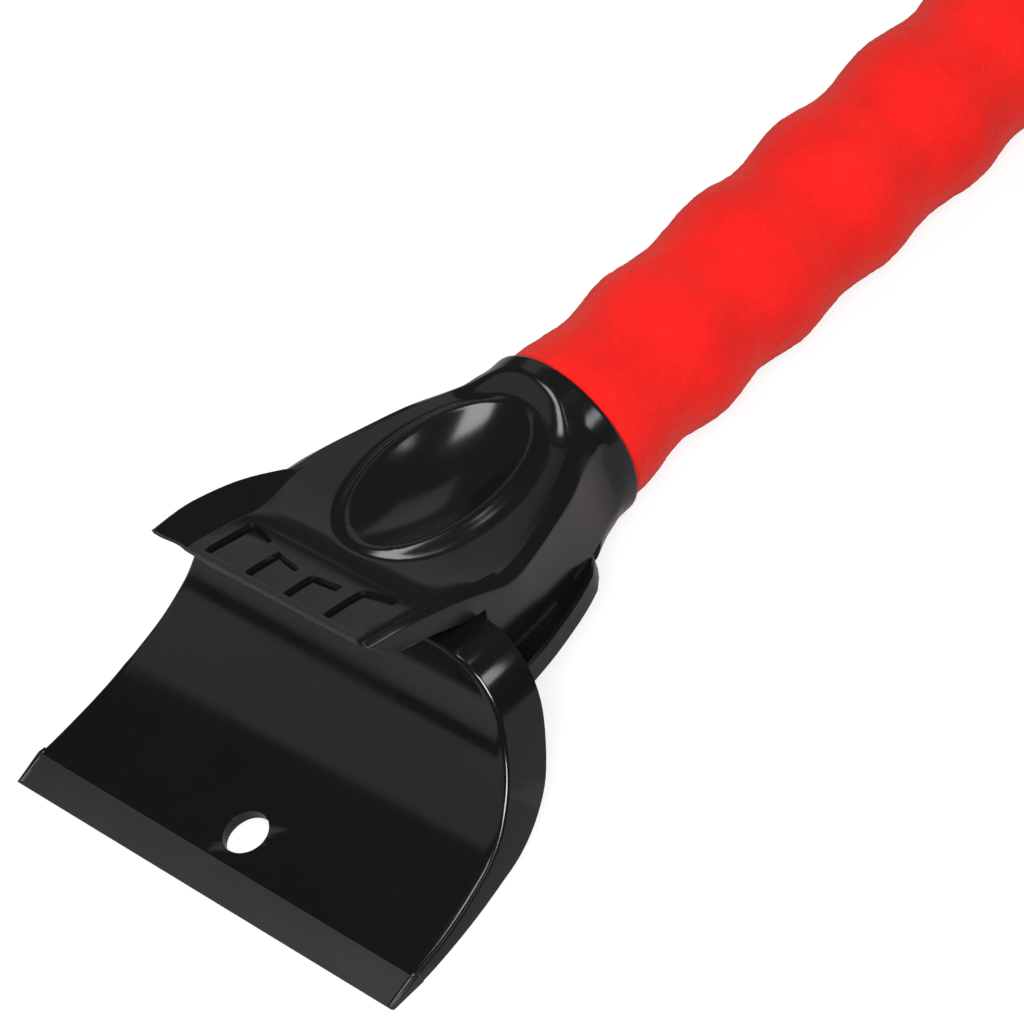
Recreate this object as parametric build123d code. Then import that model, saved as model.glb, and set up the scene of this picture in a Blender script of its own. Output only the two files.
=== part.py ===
from build123d import *
import os
from math import cos, sin, radians, degrees, atan2, sqrt

# Hand-held windshield ice scraper: a two-shell moulded head on a foam-covered tube.
# The parts are drawn in the handle frame: the tube axis is X, the free end points
# to +X, the thumb rest faces +Z, and X = 0 is the rear rim of the collar.
# place() then turns and lifts everything so that the blade edge and the end cap
# both rest on Z = 0, with the origin under the middle of the whole tool.

# ---- driving dimensions, millimetres ----
COLLAR_R = 18.0          # outside of the round collar that the foam butts against
COLLAR_FRONT = -14.0     # front end of the collar ring
TUBE_R = 9.5             # handle tube, outside
TUBE_WALL = 1.2
TUBE_START = -13.0       # tube front end, inside the collar
TUBE_END = 160.0
TONGUE_CLEARANCE = 0.1
TONGUE_END = 40.0        # how far the head's tongue reaches into the tube
TONGUE_ROOT = -20.0
FOAM_START = 0.2
FOAM_END = 165.0
FOAM_VALLEY_R = 15.3
FOAM_CREST_R = 16.7
FOAM_END_R = 16.9
FOAM_VALLEYS = (16.0, 38.0, 62.0, 87.0, 113.0, 137.0, 157.0)
FOAM_CRESTS = (26.5, 50.5, 74.0, 100.0, 125.0, 148.0)
CAP_R = 17.5
CAP_RIM = 7.0            # straight part of the end cap
CAP_DOME = 9.0           # height of its rounded end
CAP_CORNER_R = 7.0
CAP_PLUG = 24.0          # plug pushed into the tube

PARTING_Z = -6.0         # where the cover stands on the scoop base
WALL = 2.3               # moulded wall of the cover
PLATE = 2.8              # moulded wall of the scoop
SKIRT = 2.2              # wall of the skirt round the scoop

BLADE_X = -105.0         # scraping edge
BEVEL_X = -99.5          # where the ground bevel starts
BLADE_HALF = 51.8
EDGE_THICKNESS = 0.9
NUB_R = 1.4
CURL_R = 30.0            # tight curve at the back of the scoop
CURL_X, CURL_Z = -87.5, 10.8
SWEEP_R = 80.0           # shallow curve in front of it
CURL_START = 20.0        # degrees of slope where the two curves meet
SCOOP_CORNER_R = 12.0
SCOOP_TOP_Z = 9.8
TOP_HALF = 41.4          # the top corners are rounded off from this half width
HOLE_R = 4.5             # hanging hole
HOLE_X = -92.5

VISOR_X = -70.0          # front edge of the ice-breaker visor
FIN_TIP_X = -72.0        # its side fins end in points a little further forward
VISOR_WALL = 2.2
WALL_FRONT = -47.0       # front ends of the cover's side walls
WINDOW_DEPTH = 0.9

SHOULDER_BEVEL = 1.5

DISH_X = -29.0           # centre of the thumb rest
DISH_LENGTH = 39.0
DISH_WIDTH = 24.6
DISH_DEPTH = 4.4
DISH_RIM_Z = 14.5
RING_HALF_LENGTH, RING_HALF_WIDTH = 22.3, 16.0

SCREW_R = 1.5
SCREW_HEAD_R = 2.9
SCREW_HEAD = 2.0
COVER_SCREWS = ((-26.0, 15.4), (-43.0, 18.0))
TUBE_SCREW_X = -7.0
FLOOR_Z = -8.6           # inside floor of the base tray
BELLY_Z = -11.6          # outside of the tray under the scoop

SIDE_VIEW = Plane.XZ     # sketches seen from -Y: local x is X, local y is Z


def across(x):
    """Plane across the handle at x: local x is +Y, local y is +Z."""
    return Plane(origin=(x, 0, 0), x_dir=(0, 1, 0), z_dir=(1, 0, 0))


def both_ways(sketch, half):
    """Extrude a side-view sketch to both sides of the middle plane."""
    return extrude(sketch, amount=half, both=True)


def mirrored(part):
    return part + mirror(part, about=Plane.XZ)


# ---- the scoop's side profile ----
def sweep_centre():
    join_x = CURL_X + CURL_R * sin(radians(CURL_START))
    join_z = CURL_Z - CURL_R * cos(radians(CURL_START))
    centre_x = join_x - SWEEP_R * sin(radians(CURL_START))
    centre_z = join_z + SWEEP_R * cos(radians(CURL_START))
    return centre_x, centre_z


def on_sweep(x):
    """Point and slope on the shallow front curve."""
    centre_x, centre_z = sweep_centre()
    slope = degrees(atan2(x - centre_x, sqrt(SWEEP_R**2 - (x - centre_x)**2)))
    return x, centre_z - SWEEP_R * cos(radians(slope)), slope


def on_curl(slope):
    """Point and slope on the tight rear curve."""
    x = CURL_X + CURL_R * sin(radians(slope))
    return x, CURL_Z - CURL_R * cos(radians(slope)), slope


def scoop_stations():
    """Front-face point with its slope, half width and skirt depth along the scoop."""
    return [
        (on_sweep(BEVEL_X), 50.7, 2.7),
        (on_sweep(-89.7), 50.2, 3.3),
        (on_curl(CURL_START), 48.9, 5.2),
        (on_curl(30), 47.8, 7.2),
        (on_curl(40), 46.2, 9.0),
        (on_curl(50), 44.4, 10.0),
        (on_curl(60), 42.3, 10.0),
        (on_curl(70), 40.5, 10.0),
        (on_curl(80), 39.2, 10.0),
        (on_curl(90), 38.6, 10.0),
    ]


def scoop_section(spot, half, near, far):
    """Rectangle square to the plate, from depth near to depth far behind its face."""
    x, z, slope = spot
    frame = Plane(origin=(x, 0, z), x_dir=(0, 1, 0),
                  z_dir=(cos(radians(slope)), 0, sin(radians(slope))))
    return frame * Pos(0, -(near + far) / 2) * Rectangle(2 * half, far - near)


def scoop_top(inset):
    """Prism along X that rounds the two top corners of the scoop."""
    width = 2 * (BLADE_HALF + 5)
    height = 60.0
    block = across(-115) * Pos(0, SCOOP_TOP_Z - inset - height / 2) * Rectangle(width, height)
    block = extrude(block, amount=80)
    half = TOP_HALF - inset
    corner_r = SCOOP_CORNER_R - inset
    centre_z = SCOOP_TOP_Z - inset - corner_r
    corner = across(-115) * Pos(half - corner_r / 2 + 10, centre_z + corner_r / 2 + 10)
    corner = corner * Rectangle(corner_r + 20, corner_r + 20)
    round_off = across(-115) * Pos(half - corner_r, centre_z) * Circle(corner_r)
    cutter = extrude(corner - round_off, amount=80)
    return block - mirrored(cutter)


def scoop_hollow():
    """Everything in front of the plate's face, which nothing may fill."""
    start = on_sweep(BEVEL_X)
    ahead = (BEVEL_X - 2, start[1] - 0.12)
    join = on_curl(CURL_START)
    end = on_curl(90)
    middle_sweep = on_sweep(-88.5)
    middle_curl = on_curl(55)
    outline = ThreePointArc(start[:2], middle_sweep[:2], join[:2])
    outline += ThreePointArc(join[:2], middle_curl[:2], end[:2])
    outline += Polyline(end[:2], (end[0], 40), (ahead[0], 40), ahead, start[:2])
    return both_ways(SIDE_VIEW * make_face(outline), BLADE_HALF + 10)


def scoop_plate():
    """The curved plate with its skirt, open behind."""
    shell = loft([scoop_section(spot, half, -1, depth)
                  for spot, half, depth in scoop_stations()], ruled=True)
    shell = (shell & scoop_top(0)) - scoop_hollow()
    pocket = loft([scoop_section(spot, half - SKIRT, PLATE, PLATE + 14)
                   for spot, half, depth in scoop_stations()[1:]], ruled=True)
    pocket = pocket & scoop_top(SKIRT)
    return shell - pocket


def blade():
    """Ground bevel in front of the plate, with a small round nub at each tip."""
    root_x, root_z, slope = on_sweep(BEVEL_X + 1.5)
    edge_z = blade_edge_z()
    outline = Polyline((root_x, root_z - 0.1), (BLADE_X, edge_z), (BLADE_X, edge_z - EDGE_THICKNESS),
                       (root_x, root_z - PLATE + 0.3), (root_x, root_z - 0.1))
    wedge = both_ways(SIDE_VIEW * make_face(outline), BLADE_HALF - 1.0)
    nub = Pos(BLADE_X + NUB_R, BLADE_HALF - 1.0, edge_z - 0.12) * Cylinder(NUB_R, 1.4)
    return wedge + mirrored(nub)


def blade_edge_z():
    """Height of the top of the scraping edge."""
    return on_sweep(BEVEL_X)[1] - 1.9


def hanging_hole():
    x, z, slope = on_sweep(HOLE_X)
    return Pos(x, 0, z) * Rot(0, -slope, 0) * Cylinder(HOLE_R, 14)


# ---- the tray and belly behind the scoop ----
def ledge_plate():
    """Flat ledge that the cover's walls stand on, wider than the cover."""
    side = Spline((-15.5, 18.0), (-21.2, 24.8), (-34.9, 28.9), (-48.0, 31.0))
    outline = side + Polyline((-48.0, 31.0), (-72.0, 31.0), (-72.0, 0), (-15.5, 0), (-15.5, 18.0))
    half = extrude(Pos(0, 0, BELLY_Z + 0.8) * make_face(outline), amount=PARTING_Z - BELLY_Z - 0.8)
    return mirrored(half)


def belly_section(x, half, drop):
    """Bottom of the hull: flat on top at the parting plane, round below."""
    curve = Spline((-half, PARTING_Z), (-0.86 * half, PARTING_Z - 0.52 * drop),
                   (-0.5 * half, PARTING_Z - 0.88 * drop), (0, PARTING_Z - drop),
                   (0.5 * half, PARTING_Z - 0.88 * drop), (0.86 * half, PARTING_Z - 0.52 * drop),
                   (half, PARTING_Z))
    return across(x) * make_face(curve + Line((half, PARTING_Z), (-half, PARTING_Z)))


def belly():
    return loft([belly_section(-14.3, 16.6, 11.6), belly_section(-22, 20.5, 9.6),
                 belly_section(-36, 25.0, 7.4), belly_section(-62, 27.0, 6.2)])


def tray_pocket():
    """Space between the tray floor and the parting plane."""
    outline = Polyline((-21.5, 0), (-21.5, 18.8), (-36, 22.4), (-74, 23.5), (-74, 0), (-21.5, 0))
    half = extrude(Pos(0, 0, FLOOR_Z) * make_face(outline), amount=PARTING_Z - FLOOR_Z + 0.1)
    return mirrored(half)


def tongue():
    """Rod that slides into the handle tube, cored out from its free end."""
    radius = TUBE_R - TUBE_WALL - TONGUE_CLEARANCE
    length = TONGUE_END - TONGUE_ROOT
    rod = across(TONGUE_ROOT) * Circle(radius)
    rod = extrude(rod, amount=length)
    rod = chamfer(rod.faces().sort_by(Axis.X)[-1].edges(), 1.0)
    core = extrude(across(2) * Circle(radius - 2.6), amount=length)
    gusset = Polyline((COLLAR_FRONT - 0.3, 7.0), (COLLAR_FRONT - 0.3, -12), (-38, -9.5),
                      (-38, FLOOR_Z), (TONGUE_ROOT, 4.0), (COLLAR_FRONT - 0.3, 7.0))
    gusset = both_ways(SIDE_VIEW * make_face(gusset), 5.0)
    return (rod - core) + gusset


def screw_seats(part):
    """Counterbored holes in the tray floor for the cover screws."""
    for x, y in COVER_SCREWS:
        for side in (-1, 1):
            part = part - Pos(x, side * y, -14) * Cylinder(SCREW_R, 30)
            part = part - Pos(x, side * y, FLOOR_Z - 1.6 - 10) * Cylinder(SCREW_HEAD_R + 0.3, 20)
    return part


def scoop_base():
    """Lower shell: scoop, blade, tray, belly and tongue in one moulding."""
    tray = (ledge_plate() + belly()) - scoop_hollow() - tray_pocket()
    floor = Pos(-40, 0, FLOOR_Z - 1.2) * Box(44, 44, 2.4)
    base = scoop_plate() + blade() + tray + (floor - scoop_hollow())
    base = screw_seats(base) - hanging_hole()
    base = base + tongue()
    return base - tube_screw_hole()


# ---- the cover ----
def hull_section(x, foot, lip, lip_z, centre_z, inset):
    """Half-crowned section of the cover behind the visor, with a bevelled shoulder."""
    foot_z = PARTING_Z - (0 if inset == 0 else 1)
    edge = lip - SHOULDER_BEVEL
    edge_z = lip_z + SHOULDER_BEVEL
    half = [(foot - inset, foot_z), (lip - inset, lip_z - 0.6 * inset),
            (edge - inset, edge_z - inset), (edge - 3 - inset, centre_z - inset)]
    points = half + [(-y, z) for y, z in reversed(half)]
    return across(x) * make_face(Polyline(*points, points[0]))


def hull(inset, front, rear):
    """Body of the cover from its open front end back into the collar."""
    stations = [(front, 25.6, 28.7, 11.6, 12.7), (-42.0, 25.1, 29.0, 12.4, 12.7),
                (-34.0, 24.6, 27.7, 11.5, 12.7), (-28.0, 23.7, 25.8, 10.9, 12.7),
                (-18.0, 21.4, 22.2, 10.3, 12.8), (rear, 16.8, 16.0, 8.2, 13.2)]
    return loft([hull_section(x, foot, lip, lip_z, centre_z, inset)
                 for x, foot, lip, lip_z, centre_z in stations], ruled=True)


def visor_section(x, plateau_z, crease, fin, bevel, low):
    """Closed section of the visor: flat middle and a standing fin each side."""
    under_z = plateau_z - VISOR_WALL
    half = [(crease, plateau_z), fin, bevel, low, (crease, under_z)]
    points = half + [(-y, z) for y, z in reversed(half)]
    return across(x) * make_face(Polyline(*points, points[0]))


def visor():
    """Front of the cover: plateau with ice-breaker ribs between two flared fins."""
    body = [(VISOR_X, 19.2, 24.2, (27.2, 24.4), (28.4, 23.3), (29.4, 17.6)),
            (-60.5, 17.5, 24.2, (27.9, 22.1), (29.2, 21.0), (29.4, 15.6)),
            (-56.0, 15.7, 24.4, (28.0, 20.6), (29.4, 19.5), (29.6, 13.8)),
            (-51.0, 13.4, 24.8, (27.9, 18.6), (29.5, 17.4), (29.3, 11.6)),
            (WALL_FRONT, 12.9, 25.5, (27.7, 16.4), (29.3, 15.1), (28.7, 10.4)),
            (-42.0, 12.8, 26.4, (27.6, 13.9), (29.0, 12.6), (28.6, 10.4))]
    root = [(25.8, 21.6), (27.2, 24.4), (28.4, 23.3), (28.9, 20.0)]
    tip = [(27.0, 24.2), (27.1, 24.8), (28.2, 23.7), (28.2, 23.3)]
    fin_end = loft([across(VISOR_X + 0.05) * make_face(Polyline(*root, root[0])),
                    across(FIN_TIP_X) * make_face(Polyline(*tip, tip[0]))], ruled=True)
    return loft([visor_section(*station) for station in body], ruled=True) + mirrored(fin_end)


def visor_windows(part):
    """Four shallow recesses that leave five ribs along the front edge."""
    windows = [((1.4, -61.6), (8.8, -60.4)), ((11.7, -59.0), (19.6, -56.8))]
    slope = degrees(atan2(1.7, 9.5))
    for (near_y, near_x), (far_y, far_x) in windows:
        outline = Polyline((near_x, near_y), (far_x, far_y), (-68.4, far_y),
                           (-68.4, near_y), (near_x, near_y))
        cutter = extrude(make_face(outline), amount=12)
        for side in (0, 1):
            piece = mirror(cutter, about=Plane.XZ) if side else cutter
            floor = Pos(VISOR_X, 0, 19.2 - WINDOW_DEPTH + 6) * Rot(0, slope, 0) * Box(60, 60, 12)
            part = part - ((Pos(0, 0, 12) * piece) & floor)
    return part


def thumb_ring():
    """Raised oval pad round the thumb rest."""
    foot = Pos(DISH_X, 0, 11.0) * Ellipse(RING_HALF_LENGTH, RING_HALF_WIDTH)
    crest = Pos(DISH_X, 0, DISH_RIM_Z) * Ellipse(DISH_LENGTH / 2 + 1.2, DISH_WIDTH / 2 + 1.2)
    return loft([foot, crest])


def thumb_bowl(grow):
    """Doubly curved bowl of the thumb rest: the outside of a large torus."""
    long_r = ((DISH_LENGTH / 2)**2 + DISH_DEPTH**2) / (2 * DISH_DEPTH) + grow
    cross_r = ((DISH_WIDTH / 2)**2 + DISH_DEPTH**2) / (2 * DISH_DEPTH) + grow
    centre_z = DISH_RIM_Z - DISH_DEPTH + long_r - grow
    ring = Torus(long_r - cross_r, cross_r)
    return Pos(DISH_X, 0, centre_z) * Rot(90, 0, 0) * ring


def collar():
    """Round collar whose top falls away in front towards the thumb rest."""
    ring = extrude(across(COLLAR_FRONT) * Circle(COLLAR_R), amount=-COLLAR_FRONT)
    ring = fillet(ring.faces().sort_by(Axis.X)[-1].edges(), 0.9)
    fall = Polyline((-2.5, 19), (-4.5, 17.3), (-8.5, 14.9), (-16, 13.0), (-16, 19), (-2.5, 19))
    return ring - both_ways(SIDE_VIEW * make_face(fall), 30)


def head_cover():
    """Upper shell: collar, crowned panel, side walls and visor in one moulding."""
    cover = hull(0, WALL_FRONT, -5.0) + visor() + thumb_ring() + collar()
    hollow = hull(WALL, WALL_FRONT - 1, -14.2)
    under_dish = thumb_bowl(WALL)
    cover = cover - (hollow - under_dish)
    cover = cover - (thumb_bowl(0) & Pos(DISH_X, 0, 20) * Box(60, 40, 24))
    cover = visor_windows(cover)
    for x, y in COVER_SCREWS:
        for side in (-1, 1):
            boss = Pos(x, side * y, (FLOOR_Z + 11) / 2) * Cylinder(3.4, 11 - FLOOR_Z)
            pilot = Pos(x, side * y, FLOOR_Z + 6) * Cylinder(SCREW_R, 12)
            cover = cover + boss - pilot
    bore = extrude(across(COLLAR_FRONT - 6) * Circle(TUBE_R), amount=30)
    return cover - bore - tube_screw_hole() - tube_screw_seat()


# ---- handle ----
def handle_tube():
    ring = across(TUBE_START) * (Circle(TUBE_R) - Circle(TUBE_R - TUBE_WALL))
    return extrude(ring, amount=TUBE_END - TUBE_START) - tube_screw_hole()


def foam_grip():
    """Soft sleeve with uneven ring-shaped waves."""
    waves = sorted([(x, FOAM_VALLEY_R) for x in FOAM_VALLEYS] + [(x, FOAM_CREST_R) for x in FOAM_CRESTS])
    points = [(FOAM_START, FOAM_END_R)] + waves + [(FOAM_END, FOAM_END_R - 0.2)]
    outline = Spline(*points, tangents=((1, 0), (1, 0)))
    outline += Polyline(points[-1], (FOAM_END, TUBE_R), (FOAM_START, TUBE_R), points[0])
    return revolve(SIDE_VIEW * make_face(outline), axis=Axis.X)


def end_cap():
    """Rounded cap with a barbed plug in the end of the tube."""
    start = FOAM_END + 0.1
    rim_end = start + CAP_RIM
    tip = rim_end + CAP_DOME
    plug_r = TUBE_R - TUBE_WALL
    corner = ThreePointArc((rim_end, CAP_R), (rim_end + CAP_CORNER_R * sin(radians(45)),
                           CAP_R - CAP_CORNER_R * (1 - sin(radians(45)))),
                           (rim_end + CAP_CORNER_R, CAP_R - CAP_CORNER_R))
    dome = Spline(corner @ 1, (tip, 0), tangents=((0.35, -1), (0, -1)))
    plug_end = start - CAP_PLUG
    outline = Polyline((start, CAP_R - 0.8), (start + 0.8, CAP_R), (rim_end, CAP_R)) + corner + dome
    outline += Polyline((tip, 0), (plug_end + 16, 0), (plug_end + 16, plug_r - 2.2),
                        (plug_end, plug_r - 2.2), (plug_end, plug_r - 1.0))
    outline += Polyline((plug_end, plug_r - 1.0), (plug_end + 2.5, plug_r), (plug_end + 3.5, plug_r),
                        (plug_end + 3.5, plug_r - 0.8), (plug_end + 7, plug_r - 0.8),
                        (plug_end + 9.5, plug_r), (plug_end + 10.5, plug_r),
                        (plug_end + 10.5, plug_r - 0.8), (start - 0.1, plug_r - 0.8),
                        (start - 0.1, TUBE_R), (start, TUBE_R), (start, CAP_R - 0.8))
    return revolve(SIDE_VIEW * make_face(outline), axis=Axis.X)


# ---- screws ----
def screw(length, shank_r, head_r):
    """Pan-head self-tapping screw pointing up, head underside at the origin."""
    shank = Pos(0, 0, (length - 1) / 2) * Cylinder(shank_r, length + 1)
    tip = Pos(0, 0, length + 0.5) * Cone(shank_r, 0.4, 1.0)
    head = Pos(0, 0, -SCREW_HEAD / 2) * Cylinder(head_r, SCREW_HEAD)
    head = fillet(head.edges().sort_by(Axis.Z)[0], 0.8)
    slot = Pos(0, 0, -SCREW_HEAD) * (Box(3.0, 0.8, 2.0) + Box(0.8, 3.0, 2.0))
    return head + shank + tip - slot


def cover_screws():
    screws = []
    for x, y in COVER_SCREWS:
        for side in (-1, 1):
            screws.append(Pos(x, side * y, FLOOR_Z - 1.6) * screw(11.0, SCREW_R, SCREW_HEAD_R))
    return Compound(screws)


def tube_screw_hole():
    return Pos(TUBE_SCREW_X, 0, -12) * Cylinder(1.75, 14)


def tube_screw_seat():
    return Pos(TUBE_SCREW_X, 0, -15.6 - 5) * Cylinder(4.0, 10)


def tube_screw():
    return Pos(TUBE_SCREW_X, 0, -15.6) * screw(9.4, 1.75, 3.6)


# ---- placing and writing ----
def rest_turn():
    """Turn about Y that brings the blade edge and the end cap to one level."""
    blade_drop = blade_edge_z() - EDGE_THICKNESS
    cap_x = FOAM_END + 0.1 + CAP_RIM
    return degrees(atan2(-CAP_R - blade_drop, cap_x - BLADE_X))


parts = {
    "scoop_base": scoop_base(),
    "head_cover": head_cover(),
    "cover_screws": cover_screws(),
    "handle_tube": handle_tube(),
    "tube_screw": tube_screw(),
    "foam_grip": foam_grip(),
    "end_cap": end_cap(),
}

turned = {name: Rot(0, rest_turn(), 0) * part for name, part in parts.items()}
box = Compound(list(turned.values())).bounding_box()
lift = Pos(-box.center().X, 0, -box.min.Z)

os.makedirs("parts", exist_ok=True)
for name, part in turned.items():
    export_step(lift * part, f"parts/{name}.step")
print("turn", round(rest_turn(), 3), "shift", round(-box.center().X, 3), round(-box.min.Z, 3))
print("size", [round(v, 2) for v in box.size])
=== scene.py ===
import bmesh
import bpy
from math import acos, asin, atan2, cos, pi, radians, sin, sqrt
from mathutils import Matrix, Vector, noise


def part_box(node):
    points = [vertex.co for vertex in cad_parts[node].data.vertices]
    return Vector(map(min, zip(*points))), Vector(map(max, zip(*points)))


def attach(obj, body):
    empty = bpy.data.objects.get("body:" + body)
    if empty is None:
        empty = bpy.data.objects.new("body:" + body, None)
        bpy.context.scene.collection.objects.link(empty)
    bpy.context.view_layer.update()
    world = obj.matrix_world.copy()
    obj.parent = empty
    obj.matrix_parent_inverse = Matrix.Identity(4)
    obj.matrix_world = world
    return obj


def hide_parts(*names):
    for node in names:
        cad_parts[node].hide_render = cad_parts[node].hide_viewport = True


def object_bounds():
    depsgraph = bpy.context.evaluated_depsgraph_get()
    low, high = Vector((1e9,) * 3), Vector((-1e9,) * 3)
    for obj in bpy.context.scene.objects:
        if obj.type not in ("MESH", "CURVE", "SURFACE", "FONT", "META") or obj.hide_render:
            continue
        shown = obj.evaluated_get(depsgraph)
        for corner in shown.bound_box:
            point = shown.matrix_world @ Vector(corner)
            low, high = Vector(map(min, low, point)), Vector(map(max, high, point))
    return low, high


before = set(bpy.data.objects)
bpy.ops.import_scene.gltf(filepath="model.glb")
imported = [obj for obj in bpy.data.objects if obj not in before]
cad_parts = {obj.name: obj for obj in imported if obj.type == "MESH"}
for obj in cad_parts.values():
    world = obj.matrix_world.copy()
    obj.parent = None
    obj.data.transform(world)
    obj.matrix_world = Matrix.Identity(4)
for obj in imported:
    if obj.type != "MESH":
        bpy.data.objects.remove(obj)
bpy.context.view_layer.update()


# ---- Foam sleeve ----
# A tube of closed-cell foam with a short velvety skin, pushed over the metal handle tube.
# It is moulded with uneven ring-shaped waves for the fingers, and its skin is never quite even.
# Every outline in this file is drawn in millimetres from the collar's rear rim.
TUBE_MIDDLE = 73.5
SLEEVE_START = 0.2
SLEEVE_END = 165.0
BORE_R = 9.6
SKIN_R = 14
EVEN_AT_ENDS = 4
SLEEVE_WAVES = ((0.2, 16.9), (5, 16.7), (16, 15.3), (26.5, 16.7), (38, 15.3), (50.5, 16.7),
                (62, 15.3), (74, 16.7), (87, 15.3), (100, 16.7), (113, 15.3), (125, 16.7),
                (137, 15.3), (148, 16.7), (157, 15.3), (161.5, 16.4), (165, 16.7))
FOAM_RED = (0.90, 0.014, 0.010, 1)
FOAM_DEEP_RED = (0.72, 0.008, 0.007, 1)


def through(points, at):
    """Smooth curve through (place, value) points, level before the first and after the last."""
    if at <= points[0][0]:
        return points[0][1]
    if at >= points[-1][0]:
        return points[-1][1]
    k = max(i for i in range(len(points) - 1) if points[i][0] <= at)
    (x0, v0), (x1, v1) = points[k], points[k + 1]
    before = points[max(k - 1, 0)]
    after = points[min(k + 2, len(points) - 1)]
    slope0 = (v1 - before[1]) / (x1 - before[0])
    slope1 = (after[1] - v0) / (after[0] - x0)
    t = (at - x0) / (x1 - x0)
    return ((2 * t**3 - 3 * t**2 + 1) * v0 + (t**3 - 2 * t**2 + t) * (x1 - x0) * slope0
            + (3 * t**2 - 2 * t**3) * v1 + (t**3 - t**2) * (x1 - x0) * slope1)


def handle_place():
    """Turns handle millimetres (axis X, collar rim at 0, thumb side +Z) into the row frame."""
    low, high = (Vector(corner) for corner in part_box("handle_tube"))
    span = high - low
    turn = 0.0
    # The box of a turned tube is longer and taller than the tube, so its turn is found in rounds.
    for step in range(6):
        turn = atan2(span.z - span.y * cos(turn), span.x - span.y * sin(turn))
    return (Matrix.Translation((low + high) / 2) @ Matrix.Rotation(turn, 4, "Y")
            @ Matrix.Scale(0.001, 4) @ Matrix.Translation((-TUBE_MIDDLE, 0, 0)))


FROM_HANDLE = handle_place()


def piece(name, shape, *materials):
    """Turns a shape drawn in handle millimetres into an object in the row frame."""
    bmesh.ops.transform(shape, matrix=FROM_HANDLE, verts=shape.verts)
    mesh = bpy.data.meshes.new(name)
    shape.to_mesh(mesh)
    shape.free()
    for material in materials:
        mesh.materials.append(material)
    mesh.shade_smooth()
    made = bpy.data.objects.new(name, mesh)
    bpy.context.scene.collection.objects.link(made)
    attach(made, "root")
    return made


def turned_on_x(shape, outline, steps):
    """Spins a closed outline of (x, radius) points round the handle's axis."""
    points = [shape.verts.new((x, 0, r)) for x, r in outline]
    edges = [shape.edges.new((a, b)) for a, b in zip(points, points[1:] + points[:1])]
    bmesh.ops.spin(shape, geom=points + edges, cent=(0, 0, 0), axis=(1, 0, 0), angle=2 * pi,
                   steps=steps, use_merge=True)
    bmesh.ops.remove_doubles(shape, verts=shape.verts, dist=0.001)
    bmesh.ops.recalc_face_normals(shape, faces=shape.faces)


def node(tree, kind, **values):
    """Adds a node and sets its inputs by name, with spaces written as underscores."""
    made = tree.nodes.new(kind)
    for key, value in values.items():
        made.inputs[key.replace("_", " ")].default_value = value
    return made


def join(tree, out, into):
    tree.links.new(out, into)


def arithmetic(tree, operation, first, second):
    """A Math node on two sockets or numbers; gives its output."""
    made = tree.nodes.new("ShaderNodeMath")
    made.operation = operation
    for slot, value in zip(made.inputs, (first, second)):
        if isinstance(value, (int, float)):
            slot.default_value = value
        else:
            join(tree, value, slot)
    return made.outputs[0]


def spread(tree, value, low, high, to_low, to_high):
    """A Map Range node from low..high to to_low..to_high; gives its output."""
    made = node(tree, "ShaderNodeMapRange", From_Min=low, From_Max=high,
                To_Min=to_low, To_Max=to_high)
    join(tree, value, made.inputs["Value"])
    return made.outputs["Result"]


def colour_mix(tree, factor, first, second):
    """Mixes two colours, each a socket or a plain colour; gives the output."""
    made = tree.nodes.new("ShaderNodeMix")
    made.data_type = "RGBA"
    join(tree, factor, made.inputs[0])
    for slot, value in ((made.inputs[6], first), (made.inputs[7], second)):
        if isinstance(value, tuple):
            slot.default_value = value
        else:
            join(tree, value, slot)
    return made.outputs[2]


def new_material(name):
    made = bpy.data.materials.new(name)
    made.use_nodes = True
    return made, made.node_tree, made.node_tree.nodes["Principled BSDF"]


def foam_material():
    """Red foam with pores a third of a millimetre wide and a soft nap; painted shade darkens the
    pores.
    """
    made, tree, shader = new_material("red_foam")
    place = tree.nodes.new("ShaderNodeTexCoord").outputs["Object"]
    mottle = node(tree, "ShaderNodeTexNoise", Scale=70, Detail=4, Roughness=0.6)
    nap = node(tree, "ShaderNodeTexNoise", Scale=900, Detail=3, Roughness=0.7)
    pores = node(tree, "ShaderNodeTexVoronoi", Scale=2600)
    for texture in (mottle, nap, pores):
        join(tree, place, texture.inputs["Vector"])
    mottled = spread(tree, mottle.outputs["Fac"], 0.35, 0.65, 0.0, 0.55)
    # Painted shade: the colour darkens towards the middle of each pore, where the bump sinks.
    pore_shade = spread(tree, pores.outputs["Distance"], 0.0, 0.35, 0.5, 0.0)
    tint = colour_mix(tree, mottled, FOAM_RED, FOAM_DEEP_RED)
    tint = colour_mix(tree, pore_shade, tint, FOAM_DEEP_RED)
    join(tree, tint, shader.inputs["Base Color"])
    rough = spread(tree, nap.outputs["Fac"], 0.3, 0.7, 0.82, 1.0)
    join(tree, rough, shader.inputs["Roughness"])
    height = arithmetic(tree, "ADD", nap.outputs["Fac"],
                        arithmetic(tree, "MULTIPLY", pores.outputs["Distance"], 0.7))
    bump = node(tree, "ShaderNodeBump", Strength=0.55, Distance=0.00025)
    join(tree, height, bump.inputs["Height"])
    join(tree, bump.outputs["Normal"], shader.inputs["Normal"])
    shader.inputs["Specular IOR Level"].default_value = 0.15
    shader.inputs["Sheen Weight"].default_value = 0.4
    shader.inputs["Sheen Roughness"].default_value = 0.5
    shader.inputs["Sheen Tint"].default_value = (1.0, 0.25, 0.2, 1)
    return made


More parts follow.
